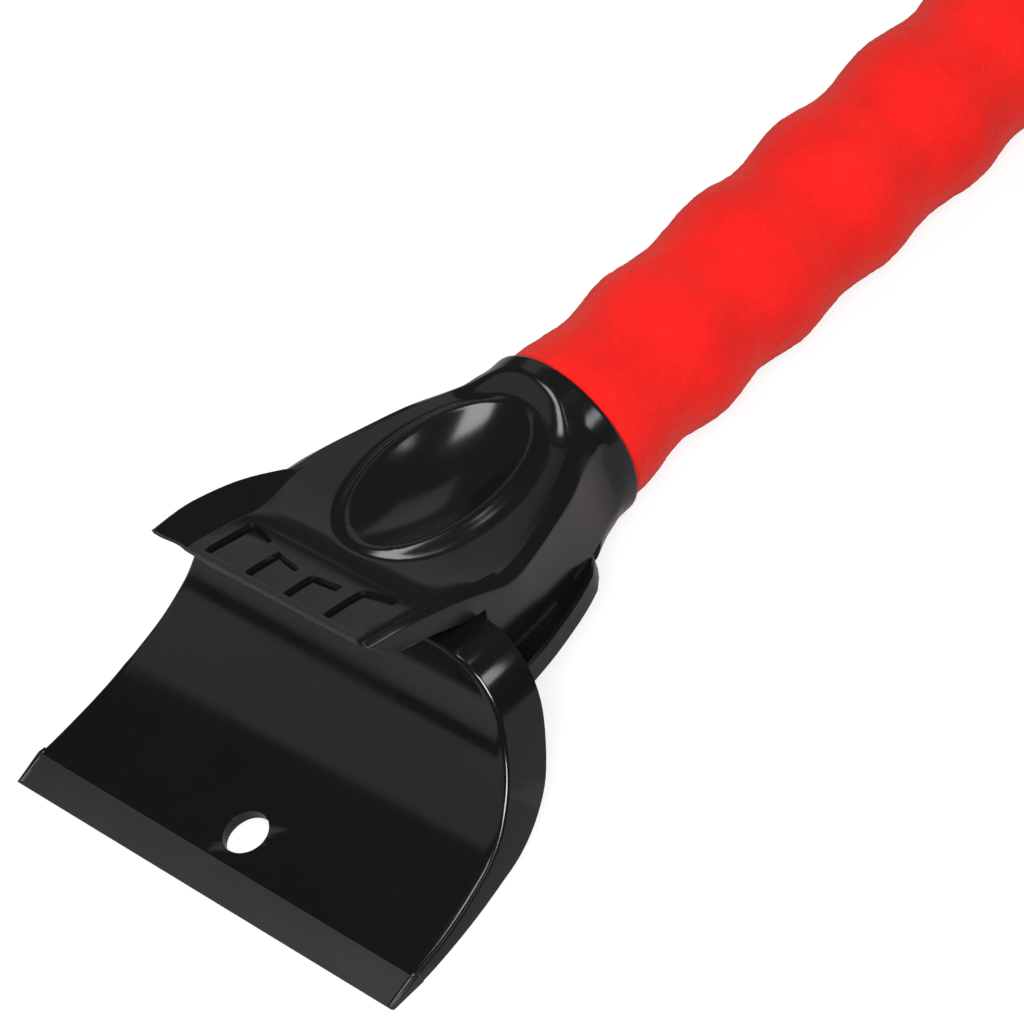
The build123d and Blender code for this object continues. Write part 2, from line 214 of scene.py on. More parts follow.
def foam_sleeve():
    """Outline of the waves spun round the tube, then made uneven as foam is."""
    shape = bmesh.new()
    rows = 320
    corner = 1.0
    first = SLEEVE_START + corner
    step = (SLEEVE_END - SLEEVE_START - 2 * corner) / rows
    outline = [(SLEEVE_START, BORE_R), (SLEEVE_START, 13.0), (SLEEVE_START, 15.9),
               (SLEEVE_START + 0.3, 16.6)]
    for k in range(rows + 1):
        outline.append((first + step * k, through(SLEEVE_WAVES, first + step * k)))
    outline += [(SLEEVE_END - 0.3, 16.4), (SLEEVE_END, 15.7), (SLEEVE_END, 13.0), (SLEEVE_END, BORE_R)]
    turned_on_x(shape, outline, 220)
    for point in shape.verts:
        spot = point.co
        radius = sqrt(spot.y**2 + spot.z**2)
        if radius < SKIN_R:
            continue
        from_end = min(spot.x - SLEEVE_START, SLEEVE_END - spot.x)
        ends = min(1.0, from_end / EVEN_AT_ENDS)
        uneven = 0.38 * noise.noise(spot * 0.085) + 0.16 * noise.noise(spot * 0.28)
        fuzz = 0.10 * noise.noise(spot * 0.9) + 0.07 * noise.noise(spot * 2.1)
        grow = 1 + (uneven * max(ends, 0) + fuzz) / radius
        point.co = Vector((spot.x, spot.y * grow, spot.z * grow))
    return shape


sleeve = piece("foam_sleeve", foam_sleeve(), foam_material())
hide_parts("foam_grip")


# ---- Scoop base ----
# The lower moulding in glossy black plastic: a curved plate with a ground scraping edge, a
# skirt that stiffens its rim, a hanging hole, and a tray behind it that the cover stands on.
BEVEL_X = -99.5
BLADE_X = -105.0
BLADE_AHEAD = 0.9
BLADE_DROP = 1.9
BLADE_ROOT = 1.5
BLADE_HALF = 50.8
CURL_R, CURL_X, CURL_Z, CURL_START = 30.0, -87.5, 10.8, radians(20)
SWEEP_R = 80.0
SWEEP_X = CURL_X + (CURL_R - SWEEP_R) * sin(CURL_START)
SWEEP_Z = CURL_Z + (SWEEP_R - CURL_R) * cos(CURL_START)
SCOOP_TOP_Z = 9.8
CORNER_R = 12.0
RIM_R = 0.9
RIM_TURNS = (22, 45, 68, 90)
PLATE_WALL = 2.3
PLATE_COLUMNS, PLATE_ROWS = 64, 48
HOLE_X, HOLE_R = -92.5, 4.5
HOLE_COLUMNS, HOLE_ROWS = 4, (1, 11)
HALF_WIDTHS = ((3.65, 50.7), (10.7, 50.2), (20, 48.9), (30, 47.8), (40, 46.2), (50, 44.4),
               (60, 42.3), (70, 40.5), (80, 39.2), (90, 38.6))
SKIRT_DEPTHS = ((3.65, 2.7), (10.7, 3.3), (20, 5.2), (30, 7.2), (40, 9.0), (50, 10.0), (90, 10.0))
LEDGE = ((-48, 31.0), (-34.9, 28.9), (-21.2, 24.8), (-17, 21.0), (-14.3, 16.5))
BELLY = ((-62, 27.0), (-36, 25.0), (-22, 20.5), (-14.3, 16.0))
BELLY_DROP = ((-62, 6.2), (-36, 7.4), (-22, 9.6), (-14.3, 11.4))
PARTING_Z = -6.0
LEDGE_FACE = 4.8
TRAY_REAR = [-14.3, -15.0, -16.0, -17.0]
TRAY_FRONT = -62.0
SCOOP_BLACK = (0.0052, 0.0050, 0.0052, 1)
GROUND_BLACK = (0.018, 0.018, 0.018, 1)
RUBBED_BLACK = (0.030, 0.029, 0.030, 1)


def moulded_group():
    """Moulded black plastic: flow marks, fine scratches, dust and slightly rubbed edges."""
    tree = bpy.data.node_groups.new("moulded_plastic", "ShaderNodeTree")
    face = tree.interface
    for name, kind in (("Colour", "NodeSocketColor"), ("Rubbed Colour", "NodeSocketColor"),
                       ("Gloss Roughness", "NodeSocketFloat"), ("Scratches", "NodeSocketFloat")):
        face.new_socket(name=name, in_out="INPUT", socket_type=kind)
    for name, kind in (("Colour", "NodeSocketColor"), ("Roughness", "NodeSocketFloat"),
                       ("Height", "NodeSocketFloat")):
        face.new_socket(name=name, in_out="OUTPUT", socket_type=kind)
    given = tree.nodes.new("NodeGroupInput").outputs
    put = tree.nodes.new("NodeGroupOutput").inputs
    place = tree.nodes.new("ShaderNodeTexCoord").outputs["Object"]
    flow = node(tree, "ShaderNodeTexNoise", Scale=28, Detail=3, Roughness=0.55)
    grain = node(tree, "ShaderNodeTexNoise", Scale=3800, Detail=2)
    dust = node(tree, "ShaderNodeTexNoise", Scale=420, Detail=5, Roughness=0.75)
    for texture in (flow, grain, dust):
        join(tree, place, texture.inputs["Vector"])
    marks = None
    for turn, stretch in ((0.3, (0.035, 1, 1)), (1.25, (0.04, 1, 1)), (-0.7, (0.05, 1, 1))):
        mapping = node(tree, "ShaderNodeMapping", Rotation=(0.2, 0.1, turn), Scale=stretch)
        join(tree, place, mapping.inputs["Vector"])
        lines = node(tree, "ShaderNodeTexNoise", Scale=1500, Detail=1)
        join(tree, mapping.outputs["Vector"], lines.inputs["Vector"])
        thin = spread(tree, lines.outputs["Fac"], 0.70, 0.76, 0.0, 1.0)
        marks = thin if marks is None else arithmetic(tree, "MAXIMUM", marks, thin)
    marks = arithmetic(tree, "MULTIPLY", marks, given["Scratches"])
    specks = spread(tree, dust.outputs["Fac"], 0.66, 0.74, 0.0, 1.0)
    edge = tree.nodes.new("ShaderNodeNewGeometry").outputs["Pointiness"]
    rubbed = spread(tree, edge, 0.53, 0.62, 0.0, 1.0)
    patchy = spread(tree, flow.outputs["Fac"], 0.3, 0.7, 0.3, 1.0)
    rubbed = arithmetic(tree, "MULTIPLY", rubbed, patchy)
    worn = arithmetic(tree, "MAXIMUM", rubbed, arithmetic(tree, "MULTIPLY", marks, 0.5))
    worn = arithmetic(tree, "MAXIMUM", worn, arithmetic(tree, "MULTIPLY", specks, 0.35))
    join(tree, colour_mix(tree, worn, given["Colour"], given["Rubbed Colour"]), put["Colour"])
    rough = arithmetic(tree, "ADD", given["Gloss Roughness"],
                       spread(tree, flow.outputs["Fac"], 0.3, 0.7, -0.03, 0.05))
    rough = arithmetic(tree, "ADD", rough, arithmetic(tree, "MULTIPLY", worn, 0.12))
    join(tree, rough, put["Roughness"])
    height = arithmetic(tree, "MULTIPLY", grain.outputs["Fac"], 0.15)
    height = arithmetic(tree, "ADD", height, arithmetic(tree, "MULTIPLY", flow.outputs["Fac"], 6.0))
    height = arithmetic(tree, "SUBTRACT", height, arithmetic(tree, "MULTIPLY", marks, 0.6))
    join(tree, height, put["Height"])
    return tree


MOULDED = moulded_group()


def plastic(name, colour, rubbed, roughness, scratches):
    """A finish in the moulded black plastic, with its own gloss."""
    made, tree, shader = new_material(name)
    group = tree.nodes.new("ShaderNodeGroup")
    group.node_tree = MOULDED
    for key, value in (("Colour", colour), ("Rubbed Colour", rubbed),
                       ("Gloss Roughness", roughness), ("Scratches", scratches)):
        group.inputs[key].default_value = value
    bump = node(tree, "ShaderNodeBump", Strength=0.5, Distance=0.00002)
    join(tree, group.outputs["Height"], bump.inputs["Height"])
    join(tree, group.outputs["Colour"], shader.inputs["Base Color"])
    join(tree, group.outputs["Roughness"], shader.inputs["Roughness"])
    join(tree, bump.outputs["Normal"], shader.inputs["Normal"])
    shader.inputs["IOR"].default_value = 1.5
    return made


def thickened(sheet, wall):
    """Gives a moulding's outer skin its wall, inwards, and closes it round the edges.

    A weight of less than 1 on the skin's points thins the wall there."""
    mesh = bpy.data.meshes.new("skin")
    sheet_has_weights = sheet.verts.layers.deform.active is not None
    sheet.to_mesh(mesh)
    sheet.free()
    skin = bpy.data.objects.new("skin", mesh)
    bpy.context.scene.collection.objects.link(skin)
    wall_maker = skin.modifiers.new("wall", "SOLIDIFY")
    wall_maker.thickness = wall
    wall_maker.offset = -1
    if sheet_has_weights:
        skin.vertex_groups.new(name="wall")
        wall_maker.vertex_group = "wall"
    bpy.context.view_layer.update()
    ready = skin.evaluated_get(bpy.context.evaluated_depsgraph_get())
    shape = bmesh.new()
    shape.from_mesh(ready.data)
    bpy.data.objects.remove(skin)
    bpy.data.meshes.remove(mesh)
    return shape


def plate_slope(x):
    """Slope of the plate's face at x: a shallow sweep, then a tight curl."""
    if x < CURL_X + CURL_R * sin(CURL_START):
        return asin((x - SWEEP_X) / SWEEP_R)
    return asin(min((x - CURL_X) / CURL_R, 1.0))


def plate_point(travel):
    """Point (x, z) and slope on the plate's face, travel millimetres up from the bevel."""
    sweep_start = plate_slope(BEVEL_X)
    sweep = SWEEP_R * (CURL_START - sweep_start)
    if travel < sweep:
        slope = sweep_start + travel / SWEEP_R
        return SWEEP_X + SWEEP_R * sin(slope), SWEEP_Z - SWEEP_R * cos(slope), slope
    slope = CURL_START + (travel - sweep) / CURL_R
    return CURL_X + CURL_R * sin(slope), CURL_Z - CURL_R * cos(slope), slope


def sweep_height(x):
    """Height of the plate's face at x, in its shallow sweep."""
    return SWEEP_Z - sqrt(SWEEP_R**2 - (x - SWEEP_X)**2)


def plate_reach():
    """Length of the plate's face from the bevel to the top of the curl."""
    top_slope = acos((CURL_Z - SCOOP_TOP_Z + RIM_R) / CURL_R)
    return SWEEP_R * (CURL_START - plate_slope(BEVEL_X)) + CURL_R * (top_slope - CURL_START)


def plate_half(slope, z):
    """Half width of the plate, with its two top corners rounded off."""
    half = through(HALF_WIDTHS, slope * 180 / pi) - RIM_R
    corner_z = SCOOP_TOP_Z - CORNER_R
    if z > corner_z:
        inner_r = CORNER_R - RIM_R
        half += sqrt(max(inner_r**2 - (z - corner_z)**2, 0)) - inner_r
    return half


def near_hole(spot):
    """True round the hanging hole, behind the plate's front edge."""
    return abs(spot.y) < 2 * HOLE_R and BEVEL_X + 0.1 < spot.x < HOLE_X + 2 * HOLE_R


def plate_shape():
    """The curved plate with its hanging hole and skirt, as a wall of even thickness."""
    shape = bmesh.new()
    bmesh.ops.create_grid(shape, x_segments=PLATE_COLUMNS, y_segments=PLATE_ROWS, size=1)
    reach = plate_reach()
    hole_faces = []
    for face in shape.faces:
        middle = face.calc_center_median()
        column = middle.x * PLATE_COLUMNS / 2
        row = (middle.y + 1) / 2 * PLATE_ROWS
        if abs(column) < HOLE_COLUMNS and HOLE_ROWS[0] < row < HOLE_ROWS[1]:
            hole_faces.append(face)
    for point in shape.verts:
        x, z, slope = plate_point((point.co.y + 1) / 2 * reach)
        point.co = Vector((x, -point.co.x * plate_half(slope, z), z))
    bmesh.ops.delete(shape, geom=hole_faces, context="FACES")
    gap = [e for e in shape.edges if e.is_boundary and all(near_hole(v.co) for v in e.verts)]
    ring = bmesh.ops.create_circle(shape, segments=len(gap), radius=HOLE_R)["verts"]
    for point in ring:
        x = HOLE_X + point.co.x * cos(plate_slope(HOLE_X))
        point.co = Vector((x, point.co.y, sweep_height(x)))
    ring_edges = list({e for point in ring for e in point.link_edges})
    bridge = bmesh.ops.bridge_loops(shape, edges=gap + ring_edges)
    for face in bridge["faces"]:
        face.normal_update()
        if face.normal.z < 0:
            face.normal_flip()
    rim = [e for e in shape.edges if e.is_boundary and e not in ring_edges
           and max(point.co.x for point in e.verts) > BEVEL_X + 0.01]
    shape.normal_update()
    turn_over_rim(shape, rim)
    shape.normal_update()
    return thickened(shape, PLATE_WALL)


def turn_over_rim(shape, rim):
    """Rolls the plate's rim over in a small radius and carries it on as the skirt.

    Every new point remembers which point of the flat rim it grew from."""
    flat_rim = {}
    tags = shape.verts.layers.int.new("rim")
    rim_points = {point for edge in rim for point in edge.verts}
    rim_edges = set(rim)
    for point in rim_points:
        slope = plate_slope(point.co.x)
        face_out = Vector((-sin(slope), 0, cos(slope)))
        ends = [edge.other_vert(point).co for edge in point.link_edges if edge in rim_edges]
        run = ends[0] - (ends[1] if len(ends) > 1 else point.co)
        out = run.cross(face_out).normalized()
        if out.dot(Vector((0, point.co.y, 0)) + Vector((cos(slope), 0, sin(slope)))) < 0:
            out = -out
        flat_rim[point.index] = (point.co.copy(), out, -face_out, slope)
        point[tags] = point.index
    edges = rim
    for turn in RIM_TURNS + ("skirt",):
        grown = bmesh.ops.extrude_edge_only(shape, edges=edges)["geom"]
        edges = [item for item in grown if isinstance(item, bmesh.types.BMEdge) and item.is_boundary
                 and all(vert in grown for vert in item.verts)]
        for point in [item for item in grown if isinstance(item, bmesh.types.BMVert)]:
            start, out, back, slope = flat_rim[point[tags]]
            if turn == "skirt":
                depth = through(SKIRT_DEPTHS, slope * 180 / pi)
                point.co = start + out * RIM_R + back * depth
            else:
                angle = radians(turn)
                point.co = start + out * RIM_R * sin(angle) + back * RIM_R * (1 - cos(angle))


def add_blade(shape):
    """Ground bevel in front of the plate, with the rounded rim carried on along its sides."""
    root_x = BEVEL_X + BLADE_ROOT
    face_z = sweep_height(root_x)
    bevel_z = sweep_height(BEVEL_X)
    edge_z = bevel_z - BLADE_DROP
    outline = [(root_x, face_z - 0.25), (BEVEL_X, bevel_z), (BLADE_X - BLADE_AHEAD, edge_z - 0.3),
               (BLADE_X - 0.4, edge_z - 0.8), (root_x, face_z - 2.75)]
    points = [shape.verts.new((x, -BLADE_HALF, z)) for x, z in outline]
    side = shape.faces.new(points)
    grown = bmesh.ops.extrude_face_region(shape, geom=[side])["geom"]
    moved = [item for item in grown if isinstance(item, bmesh.types.BMVert)]
    bmesh.ops.translate(shape, verts=moved, vec=(0, 2 * BLADE_HALF, 0))
    rim_rear = Vector((BEVEL_X + 0.8, 0, bevel_z - 0.7))
    rim_tip = Vector((BLADE_X - 0.5, 0, edge_z - 0.5))
    lie = Vector((0, 0, 1)).rotation_difference(rim_tip - rim_rear).to_matrix().to_4x4()
    for side in (-1, 1):
        middle = (rim_rear + rim_tip) / 2 + Vector((0, side * (BLADE_HALF - 0.7), 0))
        bmesh.ops.create_cone(shape, cap_ends=True, segments=24, radius1=RIM_R, radius2=0.65,
                              depth=(rim_tip - rim_rear).length,
                              matrix=Matrix.Translation(middle) @ lie)
    bmesh.ops.recalc_face_normals(shape, faces=shape.faces)
    for face in shape.faces:
        spot = face.calc_center_median()
        if spot.x < BEVEL_X + 0.5 and face.normal.z > 0.7 and abs(spot.y) < BLADE_HALF / 2:
            face.material_index = 1


def tray_ring(shape, x, meets_plate=False):
    """One closed section of the tray: flat top, upright ledge face and round belly.

    The foremost one follows the back of the plate's curl."""
    ledge = through(LEDGE, x)
    belly = min(through(BELLY, x), ledge)
    drop = through(BELLY_DROP, x)
    low_z = PARTING_Z - LEDGE_FACE
    half = [(0, PARTING_Z), (ledge * 0.5, PARTING_Z), (ledge - 0.5, PARTING_Z),
            (ledge, PARTING_Z - 0.5), (ledge, low_z + 0.6), (ledge - 0.6, low_z)]
    start = asin(min(LEDGE_FACE / drop, 1.0))
    arc = [start + (pi / 2 - start) * k / 9 for k in range(10)]
    half += [(belly * cos(a), PARTING_Z - drop * sin(a)) for a in arc]
    loop = half + [(-y, z) for y, z in reversed(half[1:-1])]
    ring = bmesh.ops.create_circle(shape, segments=len(loop), radius=1)["verts"]
    for point, (y, z) in zip(ring, loop):
        if meets_plate:
            x = CURL_X + sqrt(max(CURL_R**2 - (z - CURL_Z)**2, 0)) + 1.0
        point.co = Vector((x, y, z))
    return list({e for point in ring for e in point.link_edges})


def add_tray(shape):
    """Ledge and belly behind the plate, drawn out along the handle from ring to ring."""
    places = TRAY_REAR + [-18.5 - 2.5 * k for k in range(17)]
    rings = [tray_ring(shape, x) for x in places] + [tray_ring(shape, TRAY_FRONT, True)]
    for one, other in zip(rings, rings[1:]):
        bmesh.ops.bridge_loops(shape, edges=one + other)
    for end in (rings[0], rings[-1]):
        bmesh.ops.contextual_create(shape, geom=end)


def scoop_base():
    """Plate, ground blade and tray, which are one moulding."""
    shape = plate_shape()
    add_blade(shape)
    add_tray(shape)
    bmesh.ops.recalc_face_normals(shape, faces=shape.faces)
    return shape


def rounded_edges(made, radius, segments=3, angle=35):
    """Softens a moulding's sharp edges; the radius is in millimetres."""
    soft = made.modifiers.new("rounded_edges", "BEVEL")
    soft.width = radius / 1000
    soft.segments = segments
    soft.limit_method = "ANGLE"
    soft.angle_limit = radians(angle)
    soft.harden_normals = True


scoop_finish = plastic("scoop_black", SCOOP_BLACK, RUBBED_BLACK, 0.13, 0.12)
ground_edge = plastic("ground_edge", GROUND_BLACK, RUBBED_BLACK, 0.38, 1.0)
scoop = piece("scoop_base_moulding", scoop_base(), scoop_finish, ground_edge)
rounded_edges(scoop, 0.35)
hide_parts("scoop_base")


# ---- Head cover ----
# The upper moulding, also glossy black: a round collar, a panel with a bowl for the thumb,
# side walls that stand on the tray, and a visor with ice-breaking ribs between two fins.
VISOR_X = -70.0
WALL_FRONT = -47.0
COVER_WALL = 2.1
COLLAR_R = 18.0
COLLAR_RIM = 0.9
COLLAR_BLEND = (-6.5, -3.2)
COLLAR_FRONT, COLLAR_BOW = 2.6, 6.0
COLLAR_INTO_PANEL = 2.6
UNDERSIDE_X = -14
PANEL_Z = ((-70, 19.7), (-66, 19.0), (-61.5, 18.0), (-57.5, 16.8), (-55.5, 15.7), (-53, 14.6),
           (-50, 13.6), (-46, 13.0), (-42, 12.8), (-20, 12.8), (-10, 12.9), (0, 13.0))
CREASE_Y = ((-70, 22.6), (-55.7, 22.7), (-51.3, 23.4), (-47.9, 24.3), (-44.2, 25.3), (-42, 25.4),
            (-38, 25.0), (-34, 24.3), (-28, 22.5), (-18, 19.0), (-10, 15.0), (-5, 13.1), (0, 13.0))
CREASE_Z = ((-70, 20.0), (-67.1, 19.5), (-63.2, 18.3), (-59.3, 17.2), (-55.7, 16.0), (-51.3, 14.7),
            (-47.9, 14.0), (-44.2, 13.2), (-40, 12.8), (-28, 12.5), (-10, 12.4), (0, 12.4))
FIN_Y = ((-70, 27.4), (-64.3, 28.2), (-54, 28.5), (-48.7, 28.2), (-42.8, 27.3), (-42, 27.1),
         (-41.2, 27.0), (-38, 26.7), (-34, 26.1), (-28, 24.1), (-18, 20.5), (-10, 16.9), (-5, 15.4),
         (0, 15.3))
FIN_Z = ((-70, 23.9), (-64.3, 22.6), (-59.2, 21.0), (-54, 19.1), (-48.7, 16.8), (-42.8, 13.9),
         (-42, 13.4), (-41.2, 13.15), (-38, 12.7), (-28, 12.3), (-18, 12.0), (-10, 11.1), (-5, 9.9),
         (0, 9.6))
LIP_Y = ((-70, 28.6), (-64.3, 29.4), (-54, 29.7), (-48.7, 29.6), (-42, 29.2), (-38, 28.9),
         (-34, 27.9), (-28, 26.1), (-18, 22.5), (-10, 18.2), (-5, 16.5), (0, 16.2))
LIP_Z = ((-70, 22.9), (-64.3, 21.5), (-59.2, 19.9), (-54, 18.0), (-48.7, 15.6), (-42, 12.0),
         (-38, 11.4), (-28, 10.8), (-18, 10.2), (-10, 9.2), (-5, 8.5), (0, 8.2))
FOOT_Y = ((-47, 25.2), (-41.6, 25.1), (-32, 24.6), (-22.5, 22.7), (-15, 20.5), (-9.4, 18.3),
          (-4, 17.1), (0, 16.97))
FIN_LOW_Y = ((-70, 28.5), (-60.5, 29.2), (-51, 29.1), (-47, 28.6))
FIN_LOW_Z = ((-70, 17.7), (-60.5, 15.6), (-56, 13.8), (-51, 11.6), (-47, 10.4))
EDGE_POINTS = (6, 3, 16)     # from crease to fin, fin to lip and lip to foot
LIP_SOFTNESS = (0.35, 0.35)
THUMB_X = -29.0
CREST = (20.5, 13.1)     # half length and half width of the bead's top
BEAD_FOOT = (22.4, 16.0)     # and of its outer foot
CREST_Z = 14.6
BOWL_DEPTH = 4.4
BEAD_RISE, BEAD_DROP = 0.9, 2.9
BEAD_BLEND, FOOT_BLEND = 2.4, 1.9
BOWL_BOTTOM, BEYOND_FOOT = 0.5, 1.25
WINDOW_SIDES = ((1.4, 8.8), (11.7, 19.6))
WINDOW_REAR = ((0, -61.7), (1.4, -61.6), (8.8, -60.4), (11.7, -59.0), (19.6, -56.8), (22.6, -57.6))
WINDOW_FRONT = -68.7
WINDOW_DEPTH = 0.9
REAR_ROW, SLANT_END = -60.2, -50
VISOR_HALF = 22.6
FIN_HALF = 27.4
RAKE_START, RAKE_BACK, RAKE_AHEAD = 62, 3.8, 2.0
THIN_WALL = 0.45
# Where the panel's points lie between its middle and its crease. The shares 0.062, 0.3894, 0.5177
# and 0.8673 are the sides of the windows.
PANEL_SHARES = ([0, 0.031, 0.062] + [0.10 + 0.04 * k for k in range(7)] + [0.365, 0.3894]
                + [0.41 + 0.02 * k for k in range(5)] + [0.5177, 0.535, 0.55, 0.565]
                + [0.58 + 0.02 * k for k in range(14)] + [0.8673, 0.89, 0.92, 0.95, 0.98])
COVER_BLACK = (0.0068, 0.0068, 0.0072, 1)
# The windows' floors are darker and bluer than the cover as a painted dark reflection; their polished
# gloss is real.
RECESS_PAINTED_REFLECTION = (0.0030, 0.0036, 0.0048, 1)


def eased(at, start, end):
    """0 before start, 1 after end, with a smooth change between."""
    t = min(max((at - start) / (end - start), 0.0), 1.0)
    return t * t * (3 - 2 * t)


def soft_less(a, b, blend):
    """The smaller of two heights, rounded where they cross."""
    t = min(max(0.5 + 0.5 * (b - a) / blend, 0.0), 1.0)
    return b + (a - b) * t - blend * t * (1 - t)


def thumb_bowl(x, y, panel):
    """Height of the panel with the bowl and the raised bead round it."""
    ahead = x - THUMB_X
    crest = sqrt((ahead / CREST[0])**2 + (y / CREST[1])**2)
    foot = sqrt((ahead / BEAD_FOOT[0])**2 + (y / BEAD_FOOT[1])**2)
    if foot > BEYOND_FOOT:
        return panel
    bowl = CREST_Z - BOWL_DEPTH * (1 - crest**2)
    if crest < BOWL_BOTTOM:
        return bowl
    flank = CREST_Z + BEAD_RISE - BEAD_DROP * (crest - 1) / (crest / foot - 1)
    bead = soft_less(bowl, flank, BEAD_BLEND)
    if crest < 1.0:
        return bead
    return -soft_less(-bead, -panel, FOOT_BLEND)


def along(corners, counts, softness):
    """Points along a bent line, its inner corners cut to short curves."""
    bends = []
    for before, corner, after, soft in zip(corners, corners[1:], corners[2:], softness):
        before, corner, after = Vector(before), Vector(corner), Vector(after)
        reach_in = min(soft, (corner - before).length * 0.45)
        reach_out = min(soft, (after - corner).length * 0.45)
        enter = corner + (before - corner).normalized() * reach_in
        leave = corner + (after - corner).normalized() * reach_out
        bends.append((enter, corner, leave))
    points = [Vector(corners[0])]
    for (enter, corner, leave), count in zip(bends, counts):
        start = points[-1]
        points += [start.lerp(enter, (k + 1) / count) for k in range(count)]
        for t in (0.2, 0.4, 0.6, 0.8, 1.0):
            points.append(enter * (1 - t)**2 + corner * 2 * t * (1 - t) + leave * t**2)
    end = Vector(corners[-1])
    start = points[-1]
    points += [start.lerp(end, (k + 1) / counts[-1]) for k in range(counts[-1])]
    return points


def collar_top(x, y):
    """Height of the collar's crown, which falls away in front round the thumb bead."""
    front = COLLAR_FRONT + COLLAR_BOW * (y / 13)**2
    ahead = max(-x - front, 0)
    return sqrt(max(COLLAR_R**2 - y**2, 0)) - 0.1 * ahead**2 - 0.25 * ahead


def cover_section(x):
    """Half section of the cover from its middle to the foot of its wall."""
    crease = (through(CREASE_Y, x), through(CREASE_Z, x))
    fin = (through(FIN_Y, x), through(FIN_Z, x))
    lip = (through(LIP_Y, x), through(LIP_Z, x))
    foot = (through(FOOT_Y, x), PARTING_Z)
    if x < WALL_FRONT:
        foot = (through(FIN_LOW_Y, x), through(FIN_LOW_Z, x))
    middle = through(PANEL_Z, x)
    panel = []
    for share in PANEL_SHARES:
        y = crease[0] * share
        z = middle + (crease[1] - middle) * share**6
        panel.append((y, -soft_less(-z, -collar_top(x, y), COLLAR_INTO_PANEL)))
    edge = along([crease, fin, lip, foot], EDGE_POINTS, LIP_SOFTNESS)
    points = [Vector(p) for p in panel] + edge
    blended = []
    for point in points:
        blended.append(point.lerp(point.normalized() * COLLAR_R, eased(x, *COLLAR_BLEND)))
    half = []
    for point in blended:
        if point.x < crease[0] - 0.4 and x < -1:
            half.append(Vector((point.x, thumb_bowl(x, point.x, point.y))))
        else:
            half.append(point)
    past_rim = max(x + COLLAR_RIM, 0.0)
    drop = COLLAR_RIM - sqrt(max(COLLAR_RIM**2 - past_rim**2, 0))
    return [point * (1 - drop / COLLAR_R) for point in half]


def cover_rows():
    """Places along the handle of the cover's sections, closer where it turns sharply."""
    rows = [VISOR_X, -69.6, -69.1, WINDOW_FRONT] + [-68.2 + 0.5 * k for k in range(42)]
    rows += [WALL_FRONT - 0.06, WALL_FRONT]
    rows += [WALL_FRONT + 0.4 * k for k in range(1, 116)] + [-0.75, -0.5, -0.3, -0.15, -0.05, 0.0]
    return rows


def window_line(x, y):
    """Slants the sections on the visor so that one of them follows the windows' rear edges."""
    rear = through(WINDOW_REAR, y)
    if WINDOW_FRONT < x <= REAR_ROW:
        return WINDOW_FRONT + (x - WINDOW_FRONT) * (rear - WINDOW_FRONT) / (REAR_ROW - WINDOW_FRONT)
    if REAR_ROW < x < SLANT_END:
        return rear + (x - REAR_ROW) * (SLANT_END - rear) / (SLANT_END - REAR_ROW)
    return x


def cut_windows(shape):
    """Four shallow recesses that leave five ribs along the visor; their floors carry a painted dark
    reflection.
    """
    for near_y, far_y in WINDOW_SIDES:
        for side in (-1, 1):
            floor = []
            for face in shape.faces:
                spot = face.calc_center_median()
                across = spot.y * side
                if (near_y < across < far_y and spot.z > 12 and spot.x > WINDOW_FRONT
                        and spot.x < through(WINDOW_REAR, across)):
                    floor.append(face)
            bmesh.ops.inset_region(shape, faces=floor, thickness=0.12)
            bmesh.ops.inset_region(shape, faces=floor, thickness=0.15, depth=-WINDOW_DEPTH)
            # The floors take the second finish, whose dark bluish colour is a painted reflection.
            for face in floor:
                face.material_index = 1


def cover_skin():
    """Rows of sections from the visor's front edge to the collar's rear rim."""
    shape = bmesh.new()
    rows = cover_rows()
    half = len(cover_section(0.0)) - 1
    bmesh.ops.create_grid(shape, x_segments=2 * half, y_segments=len(rows) - 1, size=1)
    for point in shape.verts:
        column = round((point.co.x + 1) * half) - half
        row = round((point.co.y + 1) / 2 * (len(rows) - 1))
        x = rows[row]
        y = cover_section(x)[abs(column)][0]
        x += (window_line(x, y) - x) * (1 - eased(y, WINDOW_SIDES[1][1], 27.0))
        y, z = cover_section(x)[abs(column)]
        rake = eased(-x, RAKE_START, -VISOR_X)
        lip_z = through(LIP_Z, x)
        below_lip = max(lip_z - z, 0) / (lip_z - through(FIN_LOW_Z, x)) if y > 28 else 0
        x += rake * (RAKE_BACK * below_lip - RAKE_AHEAD * eased(y, VISOR_HALF, FIN_HALF))
        point.co = Vector((x, -y if column > 0 else y, z))
    shape.normal_update()
    return shape


def add_collar_underside(shape):
    """Closes the collar into a full ring below the parting plane."""
    rows = [x for x in cover_rows() if x >= UNDERSIDE_X]
    made = bmesh.ops.create_grid(shape, x_segments=48, y_segments=len(rows) - 1, size=1)["verts"]
    for point in made:
        x = rows[round((point.co.y + 1) / 2 * (len(rows) - 1))]
        foot = cover_section(x)[-1]
        start = asin(-foot.y / foot.length)
        angle = -start - (point.co.x + 1) / 2 * (pi - 2 * start)
        point.co = Vector((x, foot.length * cos(angle), foot.length * sin(angle)))
    bmesh.ops.remove_doubles(shape, verts=shape.verts, dist=0.002)
    shape.normal_update()
    for face in shape.faces:
        spot = face.calc_center_median()
        if spot.z < PARTING_Z and face.normal.dot(Vector((0, spot.y, spot.z))) < 0:
            face.normal_flip()


def head_cover():
    """The cover with its full wall, thinned towards the visor's front edge."""
    shape = cover_skin()
    cut_windows(shape)
    add_collar_underside(shape)
    weights = shape.verts.layers.deform.verify()
    for point in shape.verts:
        point[weights][0] = THIN_WALL + (1 - THIN_WALL) * eased(point.co.x, VISOR_X - 1, VISOR_X + 4)
    return thickened(shape, COVER_WALL)


cover_finish = plastic("cover_black", COVER_BLACK, RUBBED_BLACK, 0.16, 0.15)
